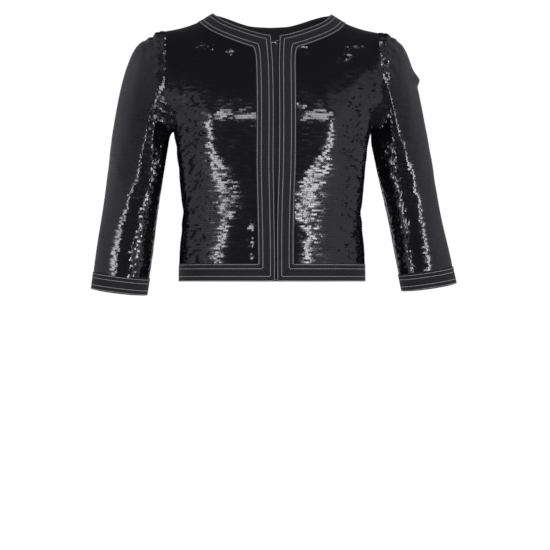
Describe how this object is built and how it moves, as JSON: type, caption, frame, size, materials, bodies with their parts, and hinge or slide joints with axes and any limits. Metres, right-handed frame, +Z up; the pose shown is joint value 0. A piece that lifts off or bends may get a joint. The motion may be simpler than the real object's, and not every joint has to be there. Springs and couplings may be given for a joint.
{
  "type": "cropped collarless jacket",
  "caption": "Cropped collarless jacket of sequinned cloth with three-quarter sleeves, woven trim round its edges and a hooked edge-to-edge front, in its worn hollow form.",
  "frame": {"origin": "between the middles of the two shoulder seams, where the wearer's shoulders carry the jacket", "axes": "+X to the wearer's left, -Y to the jacket's front, +Z up"},
  "size_m": [0.576, 0.2324, 0.4509],
  "materials": {
    "sequinned_cloth": "black cloth covered with glossy black sequins in rows",
    "woven_trim": "matt ribbed charcoal trim with pale topstitching",
    "plain_black_cloth": "plain black satin",
    "hook_wire": "bright drawn wire"
  },
  "bodies": {
    "root": {"front_left": "sequinned_cloth", "front_right": "sequinned_cloth", "side_left": "sequinned_cloth", "side_right": "sequinned_cloth", "back": "sequinned_cloth", "sleeve_left": "sequinned_cloth", "sleeve_right": "sequinned_cloth", "neck_trim": "woven_trim", "hem_trim": "woven_trim", "edge_trim_left": "woven_trim", "edge_trim_right": "woven_trim", "cuff_trim_left": "woven_trim", "cuff_trim_right": "woven_trim", "back_neck_facing": "plain_black_cloth", "underlap": "plain_black_cloth", "eye_top": "hook_wire", "hook_top": "hook_wire"}
  },
  "joints": []
}
